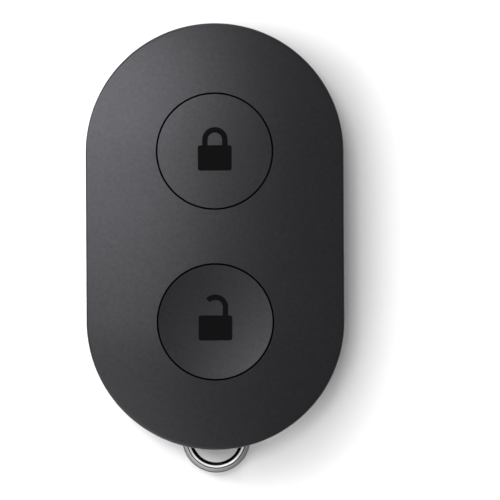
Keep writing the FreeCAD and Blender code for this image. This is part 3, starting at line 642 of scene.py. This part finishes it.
# Outlines in millimetres from the middle of each cap. The shackle goes in before the box's last
# corner, the upper left one.
LAST_CORNER = 3 * (CORNER_STEPS + 1)
SHUT_HIGH = 0.83
SHUT_BEND = (0.045, 1.595)
SHUT_OUTER, SHUT_INNER = 1.785, 1.015
shut_box = rounded_box(-2.37, -2.74, 2.40, SHUT_HIGH)
shut = (shut_box[:LAST_CORNER] + [(SHUT_BEND[0] + SHUT_OUTER, SHUT_HIGH)]
        + arc_points(*SHUT_BEND, SHUT_OUTER, 0, 180) + [(SHUT_BEND[0] - SHUT_OUTER, SHUT_HIGH)]
        + shut_box[LAST_CORNER:])
shut_hole = ([(SHUT_BEND[0] + SHUT_INNER, SHUT_HIGH)] + arc_points(*SHUT_BEND, SHUT_INNER, 0, 180)
             + [(SHUT_BEND[0] - SHUT_INNER, SHUT_HIGH)])
lock_symbol = printed("lock_symbol", shut, shut_hole, BUTTON_OFFSET, False, ink)
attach(lock_symbol, "lock_key")
OPEN_HIGH = 0.915
OPEN_BEND = (0.0, 2.06)
OPEN_OUTER, OPEN_INNER = 1.80, 1.03
OPEN_END = 138
open_box = rounded_box(-2.385, -2.61, 2.365, OPEN_HIGH)
open_shape = (open_box[:LAST_CORNER] + [(OPEN_BEND[0] + OPEN_OUTER, OPEN_HIGH)]
              + arc_points(*OPEN_BEND, OPEN_OUTER, 0, OPEN_END)
              + arc_points(*OPEN_BEND, OPEN_INNER, OPEN_END, 0)
              + [(OPEN_BEND[0] + OPEN_INNER, OPEN_HIGH)] + open_box[LAST_CORNER:])
unlock_symbol = printed("unlock_symbol", open_shape, [], -BUTTON_OFFSET, True, ink)
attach(unlock_symbol, "unlock_key")


# ---------------------------------------------------------------------------------------------
# Key ring: one loop of plated round steel wire. Its front carries painted reflections: a painted white
# highlight inside a painted dark line, painted grey on the satin outside it and a painted dark flank.
# It hangs on a pin in the case and comes out through a slot in the end.

RING_WIRE = 0.74 * MM
RING_RADIUS = 4.08 * MM
RING_PLACE = (0.0, -28.5 * MM, 3.1 * MM)

# Where the painted reflection bands begin, from -1 on the inner side of the wire to 1 on its outer
# side, and how far up the wire its painted front begins.
PAINTED_HIGHLIGHT_FROM = -0.39
PAINTED_DARK_LINE_FROM = 0.0
SATIN_AND_PAINTED_GREY_FROM = 0.22
PAINTED_DARK_FLANK_FROM = 0.82
PAINTED_FRONT_FROM = 0.24
PAINTED_BAND_EDGE = 16
PAINTED_GREY_FADE = 3
SMEAR_GRAIN = 0.7 * MM
LOOP_STEPS = 160
WIRE_STEPS = 48

ring_tree = GeometryTree("wire_loop", loop_radius="Float", wire_radius="Float", place="Vector")
loop = ring_tree.node("GeometryNodeCurvePrimitiveCircle", None,
                      {"Resolution": LOOP_STEPS, "Radius": ring_tree.size("loop_radius")})
wire = ring_tree.node("GeometryNodeCurvePrimitiveCircle", None,
                      {"Resolution": WIRE_STEPS, "Radius": ring_tree.size("wire_radius")})
bent = ring_tree.node("GeometryNodeCurveToMesh", None, {"Curve": loop, "Profile Curve": wire})
ring_tree.end(ring_tree.node("GeometryNodeTransform", None,
                             {"Geometry": bent, "Translation": ring_tree.size("place")}))

chrome_with_painted_bands, tree, shader = finish("ring_polished")
place = tree.node("ShaderNodeTexCoord", out="Object")
x, y, z = (tree.node("ShaderNodeSeparateXYZ", None, {0: place}, out=axis) - middle
           for axis, middle in enumerate(RING_PLACE))
outwards = ((x * x + y * y).root() - RING_RADIUS) / RING_WIRE
# The painted reflections lie only on the top of the wire, above this height. Below it the wire is plain
# polished chrome.
painted_front = ((z / RING_WIRE - PAINTED_FRONT_FROM) * PAINTED_BAND_EDGE / 2 + 0.5).least(1.0).most(0.0)


def beyond(edge):
    """0 inside the edge of a painted band on the wire and 1 outside it."""
    return ((outwards - edge) * PAINTED_BAND_EDGE + 0.5).least(1.0).most(0.0)


painted_highlight_on = beyond(PAINTED_HIGHLIGHT_FROM)
satin_and_painted_grey_on = beyond(SATIN_AND_PAINTED_GREY_FROM)
painted_dark_line = beyond(PAINTED_DARK_LINE_FROM) * (1 - satin_and_painted_grey_on)
smear = tree.noise(SMEAR_GRAIN, 3.0)
painted_grey_fading = ((outwards - SATIN_AND_PAINTED_GREY_FROM) * PAINTED_GREY_FADE).least(1.0).most(0.0)
# Painted reflections across the wire: painted dark on its inner side, a painted white highlight, a
# painted dark line, painted grey fading outwards over the satin and a painted dark outer flank.
painted_highlight = tree.mixed(smear, shade(249, 249, 250), shade(255, 255, 255))
painted_satin_grey = tree.mixed(0.2 * smear, tree.mixed(painted_grey_fading, shade(178, 178, 180), shade(144, 144, 147)),
                   shade(220, 220, 222))
tone = tree.mixed(painted_highlight_on, shade(84, 84, 87), painted_highlight)
tone = tree.mixed(satin_and_painted_grey_on, tone, painted_satin_grey)
tone = tree.mixed(painted_dark_line, tone, shade(16, 16, 17))
tone = tree.mixed(beyond(PAINTED_DARK_FLANK_FROM), tone, shade(64, 64, 67))
# In the painted highlight band the metal is mostly white diffuse, so that it stays bright all round.
feed(tree, shader,
     Base_Color=tree.mixed(painted_front, shade(214, 214, 216), tone),
     Metallic=1 - 0.8 * painted_front * painted_highlight_on * (1 - satin_and_painted_grey_on),
     Roughness=0.14 + painted_front * (0.06 * painted_highlight_on + 0.44 * satin_and_painted_grey_on) + 0.05 * smear)
key_ring = ring_tree.make("key_ring_loop", {"loop_radius": RING_RADIUS, "wire_radius": RING_WIRE,
                                            "place": RING_PLACE, "finish": chrome_with_painted_bands})
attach(key_ring, "ring")
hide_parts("key_ring")


# ---------------------------------------------------------------------------------------------
# Back shell and battery door: moulded black plastic with a slightly coarser grain than the front.
# Four screws hold the shell, and the door turns in a bayonet. Their shapes are the solids' own.

BACK_GRAIN = 0.14 * MM
BACK_RELIEF = 0.002 * MM


def dress(material, *names):
    """Gives nodes of the frame their material."""
    for name in names:
        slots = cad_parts[name].data.materials
        slots.clear()
        slots.append(material)


def smoothed(node, body, material):
    """A copy of a solid with its round faces shaded round and its flat faces flat."""
    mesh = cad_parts[node].data.copy()
    # Corner normals that came with the solid would hide the creases that settle finds.
    if "custom_normal" in mesh.attributes:
        mesh.attributes.remove(mesh.attributes["custom_normal"])
    mesh.materials.clear()
    mesh.materials.append(material)
    settle(mesh)
    piece = bpy.data.objects.new(node + "_moulding", mesh)
    scene.collection.objects.link(piece)
    piece.modifiers.new("even_shading", "WEIGHTED_NORMAL").keep_sharp = True
    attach(piece, body)
    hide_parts(node)


smoothed("rear_cover", "case",
         moulded("back_plastic", shade(28, 28, 29), shade(34, 34, 35), 0.5, BACK_GRAIN, BACK_RELIEF))
smoothed("battery_door", "door",
         moulded("door_plastic", shade(27, 27, 28), shade(33, 33, 34), 0.42, BACK_GRAIN, BACK_RELIEF))


# ---------------------------------------------------------------------------------------------
# Rubber parts: a flat black seal under the door's flange, and the grey silicone mat between the
# caps and the switches. Both are held by the pieces that press on them.

BLOOM_GRAIN = 0.8 * MM
RUBBER_GRAIN = 0.2 * MM
RUBBER_RELIEF = 0.004 * MM


def rubber(name, dark, light):
    """Matt moulded rubber with a faint bloom."""
    material, tree, shader = finish(name, Specular_IOR_Level=0.35)
    bloom = tree.noise(BLOOM_GRAIN, 4.0)
    bump = tree.node("ShaderNodeBump", None, {
        "Strength": 1.0, "Distance": RUBBER_RELIEF, "Height": tree.noise(RUBBER_GRAIN)})
    feed(tree, shader, Base_Color=tree.mixed(bloom, dark, light), Roughness=0.62 + 0.2 * bloom,
         Normal=bump)
    return material


dress(rubber("seal_rubber", shade(24, 24, 25), shade(34, 34, 35)), "door_seal")
dress(rubber("mat_rubber", shade(88, 90, 94), shade(104, 106, 110)), "key_mat")


# ---------------------------------------------------------------------------------------------
# Circuit board: a thin glass-fibre laminate under green solder mask, with copper traces that
# show through it. The switches and chips are soldered to its upper face.

WEAVE_PITCH = 0.9 * MM
TRACE_PITCH = 1.4 * MM
TRACE_SWAY = 1.0 * MM
TRACE_BENDS = 180
TRACE_FROM = 0.55
TRACE_FIELD = 3 * MM

laminate, tree, shader = finish("board_laminate", Coat_Roughness=0.2)
place = tree.node("ShaderNodeTexCoord", out="Object")
x = tree.node("ShaderNodeSeparateXYZ", None, {0: place}, out=0)
y = tree.node("ShaderNodeSeparateXYZ", None, {0: place}, out=1)
weave = (x * (math.tau / WEAVE_PITCH)).sine() * (y * (math.tau / WEAVE_PITCH)).sine() * 0.5 + 0.5
bundle = ((x + (y * TRACE_BENDS).sine() * TRACE_SWAY) * (math.tau / TRACE_PITCH)).sine()
traces = bundle.above(TRACE_FROM) * tree.noise(TRACE_FIELD, 0.0, place).above(0.5)
mask = tree.mixed(traces, shade(14, 62, 38), shade(34, 96, 58))
feed(tree, shader, Base_Color=tree.mixed(0.12 * weave, mask, shade(70, 120, 80)),
     Roughness=0.34 + 0.1 * weave, Coat_Weight=0.3 + 0.2 * traces)
dress(laminate, "circuit_board")


# ---------------------------------------------------------------------------------------------
# Chips and metal parts: black moulding compound for the chip and the switch bases, bright plated
# steel for the crystal's lid, the cell, the pin and the switch plates, spring bronze for the
# contacts and domes, and pale ceramic or nylon for the antenna, gasket and plungers.

STREAKS = (1.0, 9.0, 1.0)
STREAK_RELIEF = 0.001 * MM
SPECKLE_GRAIN = 0.15 * MM


def metal(name, dark, light, gloss, grain):
    """Plated or drawn metal with faint streaks from the tool."""
    material, tree, shader = finish(name, Metallic=1.0)
    place = tree.node("ShaderNodeTexCoord", out="Object")
    stretched = tree.node("ShaderNodeMapping", None, {"Vector": place, "Scale": STREAKS})
    streak = tree.noise(grain, 3.0, stretched)
    bump = tree.node("ShaderNodeBump", None,
                     {"Strength": 1.0, "Distance": STREAK_RELIEF, "Height": streak})
    feed(tree, shader, Base_Color=tree.mixed(streak, dark, light), Roughness=gloss + 0.14 * streak,
         Normal=bump)
    return material


def ceramic(name, dark, light, gloss):
    """Fired ceramic with a fine speckle."""
    material, tree, shader = finish(name)
    speckle = tree.noise(SPECKLE_GRAIN, 4.0)
    feed(tree, shader, Base_Color=tree.mixed(speckle, dark, light), Roughness=gloss + 0.15 * speckle)
    return material


chip_black = moulded("chip_black", shade(24, 24, 26), shade(40, 40, 42), 0.5, 0.08 * MM, 0.002 * MM)
dress(chip_black, "radio_chip", "lock_switch_base", "unlock_switch_base")
bright_steel = metal("bright_steel", shade(176, 176, 178), shade(206, 206, 207), 0.22, 1.2 * MM)
dress(bright_steel, "crystal", "battery_can", "battery_cap", "ring_pin", "lock_switch_plate",
      "unlock_switch_plate")
dress(metal("spring_strip", shade(186, 170, 130), shade(208, 192, 150), 0.26, 0.8 * MM),
      "positive_contact", "negative_contact", "lock_switch_dome", "unlock_switch_dome")
dress(ceramic("antenna_ceramic", shade(196, 200, 206), shade(222, 224, 228), 0.4), "chip_antenna")
dress(ceramic("white_plastic", shade(206, 205, 200), shade(224, 223, 219), 0.4), "battery_gasket",
      "lock_switch_plunger", "unlock_switch_plunger")


# ---------------------------------------------------------------------------------------------
# Rows of small components soldered to the board: five tan ceramic capacitors and four black
# resistors, all with tinned ends, and the four bent terminals of each switch.

SMALL_HALF = 0.25 * MM
SMALL_REACH = 0.5 * MM
SMALL_HEIGHT = 0.45 * MM
SMALL_PITCH = 1.3 * MM
SMALL_TIN = 0.28 * MM
SMALL_BEVEL = 0.05 * MM


def tinned(name, middle, dark, light):
    """The colours of a row of small components around x = middle, with bright tin on their ends."""
    material, tree, shader = finish(name, Specular_IOR_Level=0.4)
    place = tree.node("ShaderNodeTexCoord", out="Object")
    along = abs(tree.node("ShaderNodeSeparateXYZ", None, {0: place}, out=0) - middle)
    tin = along.above(SMALL_TIN)
    speckle = tree.noise(SPECKLE_GRAIN, 3.0)
    feed(tree, shader,
         Base_Color=tree.mixed(tin, tree.mixed(speckle, dark, light), shade(190, 190, 192)),
         Metallic=tin, Roughness=0.42 - 0.12 * tin + 0.1 * speckle)
    return material


for name, middle, count, slot, dark, light in (
        ("chip_capacitors", -5.75 * MM, 5, "capacitor_ceramic", shade(150, 118, 84),
         shade(178, 144, 104)),
        ("chip_resistors", 7.0 * MM, 4, "chip_black", shade(26, 26, 28), shade(38, 38, 40))):
    row = copies.make(
        name + "_row",
        {"columns": 1, "rows": count, "depth": (count - 1) * SMALL_PITCH,
         "place": (middle, 0.0, BOARD_TOP), "finish": tinned(name, middle, dark, light)},
        block(name, -SMALL_REACH, SMALL_REACH, SMALL_HALF, 0.0, SMALL_HEIGHT, SMALL_BEVEL))
    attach(row, "case")
    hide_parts(name)

TERMINAL_ACROSS = 3.0 * MM
TERMINAL_ALONG = 1.7 * MM
TERMINAL_HALF = 0.35 * MM
TERMINAL_REACH = 0.4 * MM
TERMINAL_THICKNESS = 0.15 * MM
TERMINAL_BEVEL = 0.03 * MM
for name, side in (("lock", 1), ("unlock", -1)):
    terminals = copies.make(
        name + "_switch_feet",
        {"columns": 2, "rows": 2, "width": 2 * TERMINAL_ACROSS, "depth": 2 * TERMINAL_ALONG,
         "place": (0.0, BUTTON_OFFSET * side, BOARD_TOP), "finish": bright_steel},
        block(name + "_foot", -TERMINAL_REACH, TERMINAL_REACH, TERMINAL_HALF, 0.0, TERMINAL_THICKNESS,
              TERMINAL_BEVEL))
    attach(terminals, "case")
    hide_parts(name + "_switch_terminals")


# ---------------------------------------------------------------------------------------------
# Case screws: four black-zinc screws with cross recesses, sunk in counterbores in the back. Each
# is cold headed in one piece, and its rolled thread winds round the shank.

SCREW_SEAT = 1.3 * MM
SCREW_TOP = 0.4 * MM
SCREW_END = 7.9 * MM
HEAD_RADIUS = 1.4 * MM
HEAD_EDGE = 0.15 * MM
SHANK_RADIUS = 0.75 * MM
POINT_RADIUS = 0.4 * MM
POINT_LENGTH = 0.5 * MM
THREAD_PITCH = 0.5 * MM
THREAD_DEPTH = 0.16 * MM
THREAD_ROWS = 96
THREAD_RUN_IN = 0.1 * MM
THREAD_SKIN = 0.01 * MM
CROSS_REACH = 0.84 * MM
CROSS_HALF = 0.2 * MM
CROSS_DEPTH = 0.5 * MM
CROSS_TAPER = 0.7


def screw_blank():
    """A screw before its thread is rolled: a turned head and shank with a tapering cross recess."""
    edge = [(HEAD_RADIUS - HEAD_EDGE * (1 - c), SCREW_TOP + HEAD_EDGE * (1 - s))
            for c, s in quarter()]
    shank = [(SHANK_RADIUS, SCREW_SEAT + (SCREW_END - POINT_LENGTH - SCREW_SEAT) * row / THREAD_ROWS)
             for row in range(THREAD_ROWS + 1)]
    mesh = turned("screw", edge[::-1] + [(HEAD_RADIUS, SCREW_SEAT)] + shank
                  + [(POINT_RADIUS, SCREW_END), (0.0, SCREW_END)])
    work = bmesh.new()
    work.from_mesh(mesh)
    bmesh.ops.remove_doubles(work, verts=work.verts, dist=TOUCHING)
    rim = [vert for vert in work.verts if abs(vert.co.z - SCREW_TOP) < TOUCHING]
    rim.sort(key=lambda vert: math.atan2(vert.co.y, vert.co.x))
    near, far = CROSS_HALF, CROSS_REACH
    arm = ((far, -near), (far, near), (near, near))
    cross = [Matrix.Rotation(math.pi / 2 * turn, 2) @ Vector(point)
             for turn in range(4) for point in arm]
    mouth = [work.verts.new((spot.x, spot.y, SCREW_TOP)) for spot in cross]
    floor = [work.verts.new((spot.x * CROSS_TAPER, spot.y * CROSS_TAPER, SCREW_TOP + CROSS_DEPTH))
             for spot in cross]
    corners = rim + mouth
    loops = [[vert.co.copy() for vert in rim], [vert.co.copy() for vert in mouth]]
    for triangle in geometry.tessellate_polygon(loops):
        work.faces.new([corners[number] for number in triangle])
    for number, spot in enumerate(mouth):
        work.faces.new((mouth[number - 1], spot, floor[number], floor[number - 1]))
    work.faces.new(floor)
    work.to_mesh(mesh)
    work.free()
    return mesh


screw_tree = GeometryTree("threaded_screws", **GRID, pitch="Float", thread_depth="Float",
                          shank_radius="Float", seat="Float", end="Float")
spot = screw_tree.node("GeometryNodeInputPosition")
x, y, z = (screw_tree.node("ShaderNodeSeparateXYZ", None, {0: spot}, out=axis) for axis in range(3))
phase = z / screw_tree.size("pitch") - screw_tree.node("ShaderNodeMath", {"operation": "ARCTAN2"},
                                                       {0: y, 1: x}) / math.tau
groove = 1 - abs((phase - phase.floor()) * 2 - 1)
on_shank = (z.above(screw_tree.size("seat") + THREAD_RUN_IN) * z.below(screw_tree.size("end"))
            * (x * x + y * y).root().above(screw_tree.size("shank_radius") - THREAD_SKIN))
narrower = 1 - on_shank * groove * screw_tree.size("thread_depth") / screw_tree.size("shank_radius")
rolled = screw_tree.node("ShaderNodeCombineXYZ", None, {0: x * narrower, 1: y * narrower, 2: z})
screw_tree.end(on_grid(screw_tree, screw_tree.node(
    "GeometryNodeSetPosition", None, {"Geometry": screw_tree.size("Geometry"), "Position": rolled})))
screws = screw_tree.make("case_screws_threaded", {
    **CORNERS, "pitch": THREAD_PITCH, "thread_depth": THREAD_DEPTH, "shank_radius": SHANK_RADIUS,
    "seat": SCREW_SEAT, "end": SCREW_END - POINT_LENGTH,
    "finish": metal("screw_steel", shade(66, 66, 70), shade(92, 92, 96), 0.3, 0.4 * MM)},
    screw_blank())
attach(screws, "case")
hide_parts("case_screws")


# ---------------------------------------------------------------------------------------------
# Studio: a table covered with white paper, three soft boxes on the left side of the case and one
# high above it, seen straight from above with a long lens. The camera stands 0.3 degrees askew.

TABLE_SIZE = 3.0
floor_mesh = bpy.data.meshes.new("table_top")
floor_mesh.from_pydata([(-TABLE_SIZE, -TABLE_SIZE, 0), (TABLE_SIZE, -TABLE_SIZE, 0),
                        (TABLE_SIZE, TABLE_SIZE, 0), (-TABLE_SIZE, TABLE_SIZE, 0)], [], [(0, 1, 2, 3)])
paper, tree, shader = finish("white_paper", Specular_IOR_Level=0.0)
feed(tree, shader,
     Base_Color=tree.mixed(tree.noise(30 * MM), shade(236, 236, 236), shade(239, 239, 239)),
     Roughness=0.9 + 0.05 * tree.noise(2 * MM))
floor_mesh.materials.append(paper)
table_top = bpy.data.objects.new("table_top", floor_mesh)
scene.collection.objects.link(table_top)


def soft_box(name, place, turn, width, height, glow):
    """A rectangular area light that faces the middle of the table, turned about its own axis."""
    lamp = bpy.data.lights.new(name, "AREA")
    lamp.shape = "RECTANGLE"
    lamp.size = width
    lamp.size_y = height
    lamp.energy = math.pi * width * height * glow
    facing = -Vector(place).normalized()
    right = facing.cross(Vector((0, 1, 0))).normalized()
    up = right.cross(facing)
    turned_box = Matrix((right, up, -facing)).transposed() @ Matrix.Rotation(turn, 3, "Z")
    made = bpy.data.objects.new(name, lamp)
    made.matrix_world = Matrix.Translation(place) @ turned_box.to_4x4()
    scene.collection.objects.link(made)
    return made


soft_box("left_box", place=(-0.0833, 0.0385, 0.1198), turn=math.radians(-94.6),
         width=0.0751, height=0.1775, glow=5.16)
soft_box("low_left_box", place=(-0.0779, -0.1184, 0.1294), turn=math.radians(100.6),
         width=0.1694, height=0.1621, glow=2.02)
soft_box("top_box", place=(-0.1175, 0.3791, 0.3753), turn=math.radians(35.6),
         width=0.4645, height=0.1962, glow=3.36)

# The box above lights the paper only through a polariser, so that it leaves no glare on the case.
above_box = soft_box("above_box", place=(-0.39, 0.42, 2.944), turn=0.0,
                     width=0.631, height=0.631, glow=17.4)
above_box.visible_glossy = False
WALL_GLOW = 0.376
scene.world = bpy.data.worlds.new("studio_walls")
scene.world.use_nodes = True
walls = scene.world.node_tree.nodes["Background"]
walls.inputs["Color"].default_value = (1, 1, 1, 1)
walls.inputs["Strength"].default_value = WALL_GLOW
scene.view_settings.view_transform = "Standard"

VIEW_WIDTH = 70.29 * MM
LENS_DISTANCE = 1.8
RIM_HEIGHT = 9.9 * MM
CAMERA_TURN = math.radians(-0.3)
camera_data = bpy.data.cameras.new("camera")
camera_data.sensor_width = 36.0
camera_data.lens = camera_data.sensor_width * LENS_DISTANCE / VIEW_WIDTH
camera_data.clip_start = 0.01
camera = bpy.data.objects.new("camera", camera_data)
camera.location = (4.90 * MM, -1.92 * MM, RIM_HEIGHT + LENS_DISTANCE)
camera.rotation_euler = (0.0, 0.0, CAMERA_TURN)
scene.collection.objects.link(camera)
scene.camera = camera
